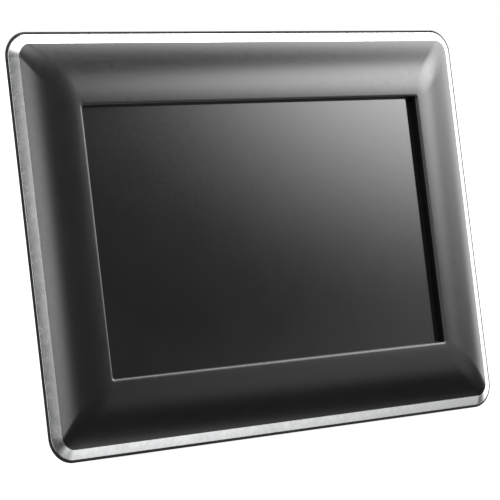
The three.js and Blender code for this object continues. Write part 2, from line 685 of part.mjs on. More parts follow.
function standBracket() {
  const top = REAR_FACE - GAP;
  const bar = block(-BAR.half, BAR.half, BAR.bottom, BAR.top, BAR.back, top);
  const ears = [-1, 1].map((side) => {
    const [x0, x1] = side < 0 ? [-EAR.outside, -EAR.inside] : [EAR.inside, EAR.outside];
    return join(
      rod(HINGE.y, HINGE.z, HINGE.knuckle, x0, x1, 24),
      block(x0, x1, HINGE.y - HINGE.knuckle, HINGE.y + HINGE.knuckle, HINGE.z, top),
      sideProfile(
        [
          [HINGE.y, top],
          [HINGE.y, HINGE.z - 2.6],
          [BAR.top, BAR.back],
          [BAR.top, top],
        ],
        x0,
        x1,
      ),
    );
  });
  const bores = [-1, 1].map((side) => {
    const [x0, x1] = side < 0 ? [-40, -20] : [20, 40];
    return rod(HINGE.y, HINGE.z, HINGE.pin + GAP, x0, x1, 20);
  });
  const holes = [-1, 1].map((side) =>
    post(side * BRACKET_FOOT.x, BRACKET_FOOT.y, BRACKET_FOOT.bore, BAR.back - 1, REAR_FACE + 1, 12),
  );
  return cut(join(bar, ...ears), ...bores, ...holes);
}

piece("stand_bracket", standBracket(), satinBlack);
const standShank = { radius: 1.15, length: 5.6 };
[-1, 1].forEach((side, i) => {
  const [x, y] = [side * BRACKET_FOOT.x, BRACKET_FOOT.y];
  const body = screw(x, y, BAR.back - GAP, smallHead, standShank);
  piece(`stand_screw_${i + 1}`, body, steel);
});
piece("stand_pin", rod(HINGE.y, HINGE.z, HINGE.pin, -EAR.outside - 1, EAR.outside + 1, 20), steel);
["left", "right"].forEach((side, i) => {
  const start = i === 0 ? -WASHER.inside - WASHER.thickness : WASHER.inside;
  const washer = cut(
    rod(HINGE.y, HINGE.z, WASHER.radius, start, start + WASHER.thickness, 24),
    rod(HINGE.y, HINGE.z, HINGE.pin + GAP, start - 1, start + 2, 20),
  );
  piece(`stand_washer_${side}`, washer, brightSteel);
});

// Where the table is, in the face frame's terms: height = y cos(lean) + z sin(lean) + faceHeight.
const [cosLean, sinLean] = [Math.cos(LEAN), Math.sin(LEAN)];
const trimEdge = TRIM.outer - TRIM_ROUND; // Z of the trim's lowest edge
const faceHeight = OUTER.y * cosLean - trimEdge * sinLean + TABLE_CLEARANCE;
const hingeHeight = HINGE.y * cosLean + HINGE.z * sinLean + faceHeight;
const legSlant = Math.acos(hingeHeight / LEG.length); // the open leg's angle from upright
const legOpening = legSlant + LEAN; // the open leg's angle from the rear face

// The leg is modelled hanging from its pin along -Y, then opened by its angle.
const leg = new THREE.Group();
leg.position.set(0, HINGE.y, HINGE.z);
leg.rotation.x = legOpening;
face.add(leg);

const legHalf = LEG.thickness / 2;
const legEnd = -LEG.length + LEG_PAD.height + LEG_PAD.wall; // Y of the plate's end, inside the pad

function legOutline() {
  const halfWidth = (y) => THREE.MathUtils.mapLinear(y, 0, legEnd, LEG.top, LEG.foot) / 2;
  const [start, cornerY] = [-1, legEnd + LEG.corner];
  const end = halfWidth(legEnd);
  const outline = new THREE.Shape();
  outline.moveTo(-halfWidth(start), start);
  outline.lineTo(-halfWidth(cornerY), cornerY);
  outline.quadraticCurveTo(-end, legEnd, LEG.corner - end, legEnd);
  outline.lineTo(end - LEG.corner, legEnd);
  outline.quadraticCurveTo(end, legEnd, halfWidth(cornerY), cornerY);
  outline.lineTo(halfWidth(start), start);
  return outline;
}

function standLeg() {
  const plate = prism(legOutline(), -legHalf, legHalf, 5);
  const knuckle = rod(0, 0, HINGE.knuckle, -LEG.knuckle / 2, LEG.knuckle / 2, 28);
  const { middle, width, height, radius, floor } = LEG_HOLLOW;
  const recess = roundedRectangle(0, middle, width, height, radius);
  const hollow = prism(recess, -legHalf - 1, floor - legHalf, 5);
  // a block on the knuckle that meets the cover when the leg is fully open
  const stop = block(-20, 20, 0, HINGE.knuckle - 0.2, 0.1 - HINGE.knuckle, 0);
  const bore = rod(0, 0, HINGE.pin + GAP, -LEG.knuckle, LEG.knuckle, 20);
  return cut(join(plate, knuckle, stop), hollow, bore);
}

// The rubber pad slips over the leg's end, and its sole is flat on the table when the leg is open.
function standFootPad() {
  const half = legHalf + GAP + LEG_PAD.wall;
  const halfWidth = LEG.foot / 2 + 1.6;
  const top = -LEG.length + LEG_PAD.height + LEG_PAD.grip;
  // Y of the table at a Z of the open leg
  const tableY = (z) => (z * Math.sin(legSlant) - hingeHeight) / Math.cos(legSlant);
  const profile = [
    [top, half],
    [top, -half],
    [tableY(-half), -half],
    [tableY(half), half],
  ];
  const pocket = block(-23, 23, legEnd - GAP, top + 1, -legHalf - GAP, legHalf + GAP);
  return cut(sideProfile(profile, -halfWidth, halfWidth), pocket);
}

piece("stand_leg", standLeg(), satinBlack, leg);
piece("stand_foot_pad", standFootPad(), rubber, leg);

// ---------- front feet ----------
// Two rubber wedges under the cover's lower slope, level with the table.
const FRONT_FOOT = { x: 68, half: 7, high: -62, low: -68.6, gap: 0.45, backDepth: 1.4, frontDepth: 1.6 };

function frontFoot(x) {
  const [, upper, lower] = COVER_OUTSIDE;
  const slope = [upper.y - OUTER.y, lower.y - OUTER.y, upper.z, lower.z];
  const slopeZ = (y) => THREE.MathUtils.mapLinear(y, ...slope) - FRONT_FOOT.gap;
  const tableY = (z) => (-faceHeight - z * sinLean) / cosLean;
  const { half, high, low, backDepth, frontDepth } = FRONT_FOOT;
  const [backZ, frontZ] = [slopeZ(high), slopeZ(low)];
  const profile = [
    [high, backZ],
    [low, frontZ],
    [tableY(frontZ - frontDepth), frontZ - frontDepth],
    [tableY(backZ - backDepth), backZ - backDepth],
  ];
  return sideProfile(profile, x - half, x + half);
}

piece("foot_left", frontFoot(-FRONT_FOOT.x), rubber);
piece("foot_right", frontFoot(FRONT_FOOT.x), rubber);

// ---------- the row frame: origin at the middle of the footprint, on the table ----------
photoFrame.updateMatrixWorld(true);
const footprint = new THREE.Box3().setFromObject(photoFrame, true);
const middle = footprint.getCenter(new THREE.Vector3());
photoFrame.position.set(-middle.x, -middle.y, -footprint.min.z);

export default photoFrame;
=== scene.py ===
import json
import math

import bmesh
import bpy
from mathutils import Matrix, Vector


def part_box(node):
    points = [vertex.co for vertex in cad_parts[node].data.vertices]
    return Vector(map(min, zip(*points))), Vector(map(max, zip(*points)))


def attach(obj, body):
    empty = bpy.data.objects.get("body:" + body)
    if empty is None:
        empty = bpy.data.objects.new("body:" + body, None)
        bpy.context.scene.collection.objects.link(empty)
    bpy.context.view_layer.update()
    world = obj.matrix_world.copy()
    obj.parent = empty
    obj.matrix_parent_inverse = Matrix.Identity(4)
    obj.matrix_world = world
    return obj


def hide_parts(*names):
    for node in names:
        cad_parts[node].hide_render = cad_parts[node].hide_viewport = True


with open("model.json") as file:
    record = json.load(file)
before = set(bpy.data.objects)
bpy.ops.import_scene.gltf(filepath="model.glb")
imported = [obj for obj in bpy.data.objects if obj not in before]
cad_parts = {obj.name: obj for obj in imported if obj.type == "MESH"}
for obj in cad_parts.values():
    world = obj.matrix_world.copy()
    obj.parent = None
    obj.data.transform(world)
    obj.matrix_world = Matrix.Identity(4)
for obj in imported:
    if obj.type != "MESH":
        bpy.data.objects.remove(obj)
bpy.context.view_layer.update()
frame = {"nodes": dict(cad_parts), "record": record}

MM = 0.001

# ---------- the face frame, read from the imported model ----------
# In millimetres: X right, Y up the face, Z out to the viewer, and Z = 0 at the window's front edge.
MOUNTS = {mount["name"]: mount for mount in frame["record"]["mounts"]}
OUT = -Vector(MOUNTS["wall_face"]["axis"]).normalized()
UP = Vector((1, 0, 0)).cross(OUT) * -1
GLASS_LOW, GLASS_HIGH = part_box("lcd_glass")
GLASS = {"front": -3.3, "thickness": 1.3}
CENTRE = (GLASS_LOW + GLASS_HIGH) / 2 - OUT * (GLASS["front"] - GLASS["thickness"] / 2) * MM
TURN = Matrix(((1, 0, 0), UP, OUT)).transposed().to_4x4()
FACE = Matrix.Translation(CENTRE) @ TURN @ Matrix.Scale(MM, 4)

# ---------- sizes of the front, in millimetres ----------
TRIM_LOW, TRIM_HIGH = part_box("trim_ring")
OUTER = {"x": (TRIM_HIGH.x - TRIM_LOW.x) / 2 / MM, "y": 72.35, "radius": 9.0}
WINDOW = {"x": 76.7, "y": 46.2, "radius": 0.8}
BORDER = OUTER["x"] - WINDOW["x"]
TRIM = {"width": 4.2, "back": -6.3}
CREASE = -3.2  # Z where the face starts, inside the trim
SWELL = 2.4  # the face rises as a power of the distance to the window
DIP = {"start": 0.74, "depth": 0.06}  # share of the border's width where it dips, and how far
LIP_ROUND = 0.8  # radius of the face's edge at the window
LIP_ARC = {"start": 75, "end": 0, "steps": 5}  # degrees of that edge's arc
CORNER_SWEEP = 3.0  # extra corner radius in the middle of the face
WALL = 1.6  # the face's wall
LIP_WALL = 2.0  # the wall round the window
GAP = 0.3  # between the face and the screen
FACE_STEPS = 60  # rings across the face's front
BACK_INSETS = (20, 17, 14, 11, 8)  # rings across its back
FACE_SHARP = 28  # degrees from which an edge stays sharp
TRIM_SHARP = 40  # the same for the trim


def front_height(inset):
    """Z of the face: it rises from the crease, and dips a little again before the window."""
    share = max(0.0, (inset - TRIM["width"]) / (BORDER - TRIM["width"]))
    dip = max(0.0, (share - DIP["start"]) / (1 - DIP["start"])) ** 2
    return CREASE * max(0.0, 1 - share) ** SWELL - DIP["depth"] * dip


# ---------- mesh building ----------
def new_object(name, bm):
    bmesh.ops.recalc_face_normals(bm, faces=bm.faces)
    mesh = bpy.data.meshes.new(name)
    bm.to_mesh(mesh)
    bm.free()
    obj = bpy.data.objects.new(name, mesh)
    bpy.context.scene.collection.objects.link(obj)
    return obj


def ring(half_x, half_y, radius, z, steps=24):
    """Points of a rounded rectangle at height z."""
    points = []
    for corner in range(4):
        sign_x = -1 if corner in (1, 2) else 1
        sign_y = -1 if corner > 1 else 1
        for step in range(steps + 1):
            angle = (corner + step / steps) * math.pi / 2
            x = sign_x * (half_x - radius) + radius * math.cos(angle)
            y = sign_y * (half_y - radius) + radius * math.sin(angle)
            points.append((x, y, z))
    return points


def border_ring(inset, z):
    """A ring of the border: concentric corners on the trim, and wider sweeping ones on the face."""
    half_y = OUTER["y"] + (WINDOW["y"] - OUTER["y"]) * inset / BORDER
    if inset <= TRIM["width"]:
        radius = OUTER["radius"] - inset
    else:
        share = (inset - TRIM["width"]) / (BORDER - TRIM["width"])
        crease = OUTER["radius"] - TRIM["width"]
        sweep = CORNER_SWEEP * math.sin(math.pi * share)
        radius = crease + (WINDOW["radius"] - crease) * share + sweep
    return ring(OUTER["x"] - inset, half_y, radius, z)


def loop_of_rings(name, rings):
    """A closed skin through rings whose last one joins the first."""
    bm = bmesh.new()
    rows = [[bm.verts.new(FACE @ Vector(point)) for point in row] for row in rings]
    count = len(rings[0])
    for i, row in enumerate(rows):
        after = rows[(i + 1) % len(rows)]
        for j in range(count):
            k = (j + 1) % count
            bm.faces.new((row[j], after[j], after[k], row[k])).smooth = True
    return new_object(name, bm)


def arc(centre, radius, start, end, steps):
    """(inset, z) points of an arc, with angles in degrees from +inset towards +Z."""
    points = []
    for i in range(steps + 1):
        angle = math.radians(start + (end - start) * i / steps)
        points.append((centre[0] + radius * math.cos(angle), centre[1] + radius * math.sin(angle)))
    return points


def rounded_steps(steps, pieces=7):
    """Points of a path whose corners are rounded off by each step's last value."""
    path = []
    for i, step in enumerate(steps):
        here, size = Vector(step[:-1]), step[-1]
        if not size:
            path.append(here)
            continue
        back, on = (Vector(steps[k][:-1]) - here for k in (i - 1, i + 1))
        before, after = here + back * (size / back.length), here + on * (size / on.length)
        for j in range(pieces + 1):
            t = j / pieces
            path.append(before * (1 - t) ** 2 + here * 2 * t * (1 - t) + after * t ** 2)
    return path


def sharpen(obj, degrees):
    obj.data.set_sharp_from_angle(angle=math.radians(degrees))


# ---------- materials ----------
class Nodes:
    """Short calls for building a material's nodes."""

    def __init__(self, name):
        self.material = bpy.data.materials.new(name)
        self.material.use_nodes = True
        self.tree = self.material.node_tree
        self.shader = self.tree.nodes["Principled BSDF"]
        self.coords = self.tree.nodes.new("ShaderNodeTexCoord").outputs["Object"]

    def set(self, **values):
        for name, value in values.items():
            self.shader.inputs[name.replace("_", " ")].default_value = value
        return self

    def link(self, output, socket):
        self.tree.links.new(output, socket)

    def stretched(self, scale):
        node = self.tree.nodes.new("ShaderNodeMapping")
        node.inputs["Scale"].default_value = scale
        self.link(self.coords, node.inputs["Vector"])
        return node.outputs["Vector"]

    def noise(self, scale, detail=2.0, vector=None):
        node = self.tree.nodes.new("ShaderNodeTexNoise")
        node.inputs["Scale"].default_value = scale
        node.inputs["Detail"].default_value = detail
        self.link(vector or self.coords, node.inputs["Vector"])
        return node.outputs["Fac"]

    def cells(self, scale):
        node = self.tree.nodes.new("ShaderNodeTexVoronoi")
        node.inputs["Scale"].default_value = scale
        self.link(self.coords, node.inputs["Vector"])
        return node.outputs["Distance"]

    def ramp(self, value, low, high, start=0.3, end=0.7):
        node = self.tree.nodes.new("ShaderNodeMapRange")
        node.inputs["From Min"].default_value = start
        node.inputs["From Max"].default_value = end
        node.inputs["To Min"].default_value = low
        node.inputs["To Max"].default_value = high
        self.link(value, node.inputs["Value"])
        return node.outputs["Result"]

    def colours(self, value, low, high, start=0.3, end=0.7):
        node = self.tree.nodes.new("ShaderNodeValToRGB")
        node.color_ramp.elements[0].position = start
        node.color_ramp.elements[0].color = (*low, 1)
        node.color_ramp.elements[1].position = end
        node.color_ramp.elements[1].color = (*high, 1)
        self.link(value, node.inputs["Fac"])
        self.link(node.outputs["Color"], self.shader.inputs["Base Color"])
        return self

    def rough(self, value, low, high, start=0.3, end=0.7):
        self.link(self.ramp(value, low, high, start, end), self.shader.inputs["Roughness"])
        return self

    def bump(self, value, height, strength=1.0):
        node = self.tree.nodes.new("ShaderNodeBump")
        node.inputs["Distance"].default_value = height
        node.inputs["Strength"].default_value = strength
        self.link(value, node.inputs["Height"])
        self.link(node.outputs["Normal"], self.shader.inputs["Normal"])
        return self


def gloss_black():
    n = Nodes("gloss_black_plastic")
    n.set(IOR=1.5)
    n.colours(n.noise(60, 3), (0.0035, 0.0035, 0.004), (0.005, 0.005, 0.0055))
    n.rough(n.noise(700, 3), 0.17, 0.21)
    return n.bump(n.noise(300, 1), 0.000002, 0.4).material


# The trim's thin edge is a real piece, but it is kept dark and matte so that it paints the shade
# along the trim's outer rim.
def painted_shade_edge():
    n = Nodes("painted_shade_edge")
    n.set(Specular_IOR_Level=0.15)
    n.colours(n.noise(90, 3), (0.010, 0.010, 0.011), (0.018, 0.018, 0.020))
    n.rough(n.noise(900, 3), 0.62, 0.75)
    return n.bump(n.noise(2400, 2), 0.00002, 0.4).material


def bright_trim():
    n = Nodes("bright_trim")
    n.set(Metallic=1.0)
    n.colours(n.noise(40, 2), (0.50, 0.505, 0.51), (0.54, 0.545, 0.55))
    n.rough(n.noise(500, 3), 0.22, 0.28)
    return n.bump(n.noise(250, 1), 0.000001, 0.2).material


def clear_acrylic():
    n = Nodes("clear_acrylic")
    n.set(IOR=1.49, Transmission_Weight=1.0)
    n.colours(n.noise(40, 2), (0.94, 0.95, 0.955), (0.975, 0.98, 0.982))
    n.rough(n.noise(500, 3), 0.02, 0.06)
    return n.bump(n.noise(300, 1), 0.000003).material


def screen_film():
    n = Nodes("screen_film")
    n.set(IOR=1.65)
    n.colours(n.noise(60, 2), (0.0055, 0.0055, 0.006), (0.0075, 0.0075, 0.008))
    n.rough(n.noise(900, 2), 0.06, 0.09)
    return n.bump(n.noise(200, 1), 0.000002).material


def textured_black():
    n = Nodes("textured_black_plastic")
    n.colours(n.noise(90, 4), (0.026, 0.026, 0.027), (0.036, 0.036, 0.038))
    n.rough(n.noise(1500, 2), 0.36, 0.5)
    return n.bump(n.noise(3200, 3), 0.00006, 0.7).material


def key_plastic():
    n = Nodes("key_plastic")
    n.colours(n.noise(150, 3), (0.055, 0.057, 0.061), (0.072, 0.074, 0.079))
    n.rough(n.noise(900, 3), 0.30, 0.42)
    return n.bump(n.noise(2500, 2), 0.00002, 0.5).material


def black_rubber():
    n = Nodes("black_rubber")
    n.colours(n.noise(400, 4), (0.014, 0.014, 0.014), (0.030, 0.029, 0.028))
    n.rough(n.noise(700, 3), 0.78, 0.95)
    return n.bump(n.noise(2200, 4), 0.00008, 0.8).material


def sheet_steel():
    n = Nodes("module_steel")
    n.set(Metallic=1.0)
    grain = n.noise(1, 3, n.stretched((60, 2500, 2500)))
    n.colours(grain, (0.46, 0.47, 0.48), (0.60, 0.61, 0.62))
    n.rough(grain, 0.28, 0.42)
    return n.bump(grain, 0.00001, 0.5).material


def plated_steel():
    n = Nodes("plated_steel")
    n.set(Metallic=1.0)
    n.colours(n.noise(600, 3), (0.62, 0.62, 0.63), (0.74, 0.74, 0.75))
    n.rough(n.noise(1400, 3), 0.18, 0.32)
    return n.bump(n.noise(2600, 2), 0.00001, 0.4).material


def board_laminate():
    n = Nodes("board_laminate")
    n.colours(n.cells(420), (0.012, 0.090, 0.035), (0.025, 0.150, 0.060), 0.2, 0.5)
    n.rough(n.noise(300, 3), 0.25, 0.4)
    return n.bump(n.cells(420), 0.00004, 0.5).material


def black_resin():
    n = Nodes("black_resin")
    n.colours(n.noise(500, 3), (0.016, 0.016, 0.017), (0.028, 0.028, 0.030))
    n.rough(n.noise(1200, 3), 0.45, 0.62)
    return n.bump(n.noise(3000, 2), 0.00003, 0.5).material


def white_film():
    n = Nodes("white_polyester")
    n.colours(n.noise(80, 2), (0.78, 0.78, 0.77), (0.84, 0.84, 0.83))
    n.rough(n.noise(600, 2), 0.45, 0.6)
    return n.bump(n.noise(1500, 2), 0.00001, 0.5).material


def polyimide():
    n = Nodes("polyimide_film")
    tracks = n.noise(1, 0, n.stretched((1600, 1, 1)))
    n.colours(tracks, (0.36, 0.15, 0.03), (0.58, 0.30, 0.08))
    n.rough(n.noise(300, 2), 0.25, 0.35)
    return n.bump(tracks, 0.00002, 0.5).material


def key_mark():
    n = Nodes("key_mark_paint")
    n.colours(n.noise(900, 3), (0.42, 0.43, 0.44), (0.52, 0.53, 0.54))
    n.rough(n.noise(1500, 2), 0.4, 0.55)
    return n.bump(n.noise(2500, 2), 0.00001, 0.4).material


MATERIALS = {
    "gloss_black_plastic": gloss_black(),
    "bright_trim": bright_trim(),
    "clear_acrylic": clear_acrylic(),
    "screen_glass": screen_film(),
    "textured_black_plastic": textured_black(),
    "key_plastic": key_plastic(),
    "black_rubber": black_rubber(),
    "module_steel": sheet_steel(),
    "plated_steel": plated_steel(),
    "board_laminate": board_laminate(),
    "black_resin": black_resin(),
    "white_polyester": white_film(),
    "polyimide_film": polyimide(),
}


def place(obj, body, slot, *stands_for, material=None):
    """Gives a new piece its material (the slot's, unless one is given) and body, and hides the CAD
    nodes it stands for.
    """
    obj.data.materials.append(material or MATERIALS[slot])
    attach(obj, body)
    if stands_for:
        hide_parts(*stands_for)


# ---------- the bright trim and the black face ----------
# The trim's sections as (inset, z, rounding): the plated band, and the dark edge that turns in
# behind it, a real edge whose dark matte colour is painted shade along the trim's rim.
BAND_STEPS = [(4.16, -5.8, 0), (4.16, -3.2, 0), (0.8, -4.85, 0.3), (0.8, -5.8, 0)]
EDGE_STEPS = [
    (0.82, -5.82, 0),
    (0.82, -4.87, 0.05),
    (0.0, -5.2, 0.25),
    (0.2, -5.7, 0.2),
    (0.9, -6.28, 0.3),
    (4.1, -6.28, 0),
    (4.1, -5.82, 0),
]


def trim_ring():
    """The bright bevelled band, and the thin dark edge round it, whose matte black is painted
    shade.
    """
    for name, steps, slot, stands_for, material in (
        ("trim_band", BAND_STEPS, "bright_trim", ["trim_ring"], None),
        # The edge's material paints the shade along the trim's rim.
        ("trim_edge", EDGE_STEPS, "black_resin", [], painted_shade_edge()),
    ):
        section = rounded_steps(steps)
        obj = loop_of_rings(name, [border_ring(inset, z) for inset, z in section])
        sharpen(obj, TRIM_SHARP)
        place(obj, "housing", slot, *stands_for, material=material)


def black_face():
    """The gloss face: it swells to the window, rounds over, and drops to the screen."""
    start, end = TRIM["width"], BORDER - LIP_ROUND
    lip, foot = BORDER - LIP_WALL, GLASS["front"] + GAP
    insets = [start + (end - start) * i / FACE_STEPS for i in range(FACE_STEPS + 1)]
    section = [(inset, front_height(inset)) for inset in insets]
    section += arc((end, front_height(end) - LIP_ROUND), LIP_ROUND, **LIP_ARC)
    section += [(BORDER, foot), (lip, foot), (lip, front_height(lip) - WALL)]
    section += [(inset, front_height(inset) - WALL) for inset in BACK_INSETS]
    section += [(start + WALL, TRIM["back"]), (start, TRIM["back"])]
    obj = loop_of_rings("face_shell", [border_ring(inset, z) for inset, z in section])
    sharpen(obj, FACE_SHARP)
    place(obj, "housing", "gloss_black_plastic", "front_bezel")


# ---------- the screen ----------
# The glass, and the polariser on it: half sizes, the film's thickness, and rounding of the edges.
PLATE = {"x": 81.4, "y": 50.9, "round": 0.12}
FILM = {"x": 76.65, "y": 46.15, "thickness": 0.19, "round": 0.06}
SEAT = 0.2  # the glass stops this far behind the film's front


def plate(name, half_x, half_y, back, front, round_off):
    """A thin plate in the face frame with rounded edges."""
    bm = bmesh.new()
    corners = [(-half_x, -half_y), (half_x, -half_y), (half_x, half_y), (-half_x, half_y)]
    levels = [bm.verts.new(FACE @ Vector((x, y, z))) for z in (back, front) for x, y in corners]
    low, high = levels[:4], levels[4:]
    bm.faces.new(low)
    bm.faces.new(high)
    for i in range(4):
        k = (i + 1) % 4
        bm.faces.new((low[i], low[k], high[k], high[i]))
    bmesh.ops.bevel(bm, geom=bm.edges[:], offset=round_off * MM, segments=2, affect="EDGES")
    return new_object(name, bm)


def screen():
    """The display glass, and the polariser that shows in the window."""
    front, back = GLASS["front"], GLASS["front"] - GLASS["thickness"]
    glass = plate("screen_glass_plate", PLATE["x"], PLATE["y"], back, front - SEAT, PLATE["round"])
    place(glass, "housing", "screen_glass", "lcd_glass", material=MATERIALS["black_resin"])
    behind = front - FILM["thickness"]
    film = plate("screen_polariser", FILM["x"], FILM["y"], behind, front, FILM["round"])
    place(film, "housing", "screen_glass")


# ---------- the rear cover ----------
REAR = -28.5
REAR_WALL = 2.0
# Steps of the profile: inset in x, inset in y, corner radius, z, and how far it is rounded off.
COVER_OUTSIDE = [
    (4.4, 4.4, 7.6, -6.6, 0),
    (4.4, 4.4, 7.6, -8.0, 0.7),
    (14, 12, 11, -17, 4.0),
    (27, 22, 10, -18, 1.6),
    (28.5, 23.5, 9, -26, 1.4),
    (31, 26, 7, REAR, 1.6),
    (36, 31, 5, REAR, 0),
]
# The inside starts in front of the cover's rim, so that the cut leaves the rim open.
COVER_INSIDE = [
    (6.4, 6.4, 5.8, -5.6, 0),
    (6.4, 6.4, 5.8, -7.2, 0),
    (15, 13, 9.5, -15.2, 0),
    (29, 24, 8.5, -16.2, 0),
    (30.4, 25.4, 7.5, -25.2, 0),
    (32, 27, 6, REAR + REAR_WALL, 0),
]
PAD = {"x": -55.0, "y": 22.0, "reach": 9.1, "hole": 13.3}
WELL = {"x": 88.0, "y": 58.35, "radius": 3.1, "boss": 4.4, "clearance": 1.6}
WELL_REACH = {"boss": (-20, -7), "hole": (-22, -8), "clearance": (-9, -6)}  # Z from back to front
GRILLE = {"x": 46, "y": -25, "radius": 12.5, "pitch": 3.8, "rows": range(-2, 3)}
GRILLE_SLOT = {"half": 0.9, "round": 0.85, "margin": 1}  # the margin keeps them off the circle
VENT = {"x": 55, "y": 4, "pitch": 5.2, "half_x": 12, "half_y": 1.0, "round": 0.95, "count": 5}
KEYHOLE = {"x": 42, "y": 36, "head": 3.6, "slot": 1.9, "rise": 6.0}
KEYHOLE_STEPS = {"head": 32, "slot": 16}
SMALL_KEY = {"x": (-62.5, -47.5), "y": -2, "half_x": 6.3, "half_y": 3.0, "round": 2.6}
STAND_SCREW = {"x": 33.2, "y": 40.5, "hole": 1.5}
# Openings in the side walls: side, y, z, half height, half depth, corner radius.
PORTS = {
    "dc_jack": (-1, -20, -21.6, 3.4, 3.4, 3.4),
    "power_switch": (-1, -37, -21.5, 4, 1.6, 0.3),
    "card": (1, 20, -20.4, 12.9, 1.7, 0.4),
    "usb_host": (1, -6, -21.4, 7, 3.3, 0.4),
    "usb_device": (1, -27, -20.4, 4.4, 2.3, 0.4),
}
SIDE_WALL = 73.9
SIDE_REACH = 4  # a port's cutter passes the wall by this much, and flares by as much outside
HOLE_STEPS = {"rear": 10, "side": 8}  # points round each corner of a cutter
CHAMFER = 0.4
# Z of the rings of a cutter through the rear wall, and how far each ring grows.
REAR_CUT = ((REAR + REAR_WALL + 1, 0), (REAR + CHAMFER, 0), (REAR - CHAMFER, 2 * CHAMFER))
COVER_SHARP = 28  # degrees from which an edge stays sharp
WELD = 0.001  # points nearer than this are one


def cover_rings(steps):
    """Rings of the cover's profile in the face frame."""
    return [ring(OUTER["x"] - x, OUTER["y"] - y, radius, z)
            for x, y, radius, z in rounded_steps(steps)]


def add_skin(bm, rings):
    """A capped skin through rings of equal length, added to bm."""
    rows = [[bm.verts.new(FACE @ Vector(point)) for point in row] for row in rings]
    count = len(rings[0])
    for row, after in zip(rows, rows[1:]):
        for j in range(count):
            k = (j + 1) % count
            bm.faces.new((row[j], after[j], after[k], row[k]))
    bm.faces.new(rows[0])
    bm.faces.new(rows[-1])


def skins(name, solids):
    """One object of several capped skins."""
    bm = bmesh.new()
    for rings in solids:
        add_skin(bm, rings)
    bmesh.ops.remove_doubles(bm, verts=bm.verts, dist=WELD * MM)
    return new_object(name, bm)


def carve(obj, operation, other):
    """Apply a boolean with the other object, which is then removed."""
    modifier = obj.modifiers.new(operation, "BOOLEAN")
    modifier.operation = operation
    modifier.solver = "MANIFOLD"
    modifier.object = other
    graph = bpy.context.evaluated_depsgraph_get()
    mesh = bpy.data.meshes.new_from_object(obj.evaluated_get(graph))
    obj.modifiers.clear()
    obj.data = mesh
    bpy.data.objects.remove(other)


def shifted(x, y, row, side=None):
    """A row of points moved to (x, y). With a side, -1 or 1, they lie in that side wall's plane."""
    if side is None:
        return [(px + x, py + y, pz) for px, py, pz in row]
    return [(side * pz, px + x, py + y) for px, py, pz in row]


def cylinder(x, y, radius, low, high):
    return [shifted(x, y, ring(radius, radius, radius, z, HOLE_STEPS["rear"]))
            for z in (low, high)]


def rear_hole(x, y, half_x, half_y, radius):
    """A cutter for a rounded hole through the rear wall, with a chamfered edge."""
    steps = HOLE_STEPS["rear"]
    return [shifted(x, y, ring(half_x + grow, half_y + grow, radius + grow, z, steps))
            for z, grow in REAR_CUT]


def side_hole(side, y, z, half_y, half_z, radius):
    """A cutter for a port in a side wall, with a flare outside."""
    depths = ((SIDE_WALL - SIDE_REACH, 0), (SIDE_WALL, 0), (SIDE_WALL + SIDE_REACH, SIDE_REACH))
    steps = HOLE_STEPS["side"]
    return [shifted(y, z, ring(half_y + grow, half_z + grow, radius + grow, depth, steps), side)
            for depth, grow in depths]


def keyhole(x, y):
    """A round opening with a narrower slot above it, chamfered like the other holes."""
    rows = []
    for z, grow in REAR_CUT:
        wide, narrow = KEYHOLE["head"] + grow, KEYHOLE["slot"] + grow
        meet = math.asin(narrow / wide)  # half the angle at which the slot leaves the head
        row = []
        for i in range(KEYHOLE_STEPS["head"] + 1):
            angle = math.pi / 2 + meet + (2 * math.pi - 2 * meet) * i / KEYHOLE_STEPS["head"]
            row.append((x + wide * math.cos(angle), y + wide * math.sin(angle), z))
        for i in range(KEYHOLE_STEPS["slot"] + 1):
            angle = math.pi * i / KEYHOLE_STEPS["slot"]
            row.append((x + narrow * math.cos(angle),
                        y + KEYHOLE["rise"] + narrow * math.sin(angle), z))
        rows.append(row)
    return rows


def round_hole(x, y, radius):
    return rear_hole(x, y, radius, radius, radius)


def grille(x, y):
    """The slots of a round speaker grille."""
    slots = []
    for row in GRILLE["rows"]:
        rise = row * GRILLE["pitch"]
        half = math.sqrt(GRILLE["radius"] ** 2 - rise ** 2) - GRILLE_SLOT["margin"]
        slots.append(rear_hole(x, y + rise, half, GRILLE_SLOT["half"], GRILLE_SLOT["round"]))
    return slots


def vents():
    return [rear_hole(VENT["x"], VENT["y"] + row * VENT["pitch"],
                      VENT["half_x"], VENT["half_y"], VENT["round"])
            for row in range(VENT["count"])]


def small_key_hole(x):
    key = SMALL_KEY
    return rear_hole(x, key["y"], key["half_x"], key["half_y"], key["round"])


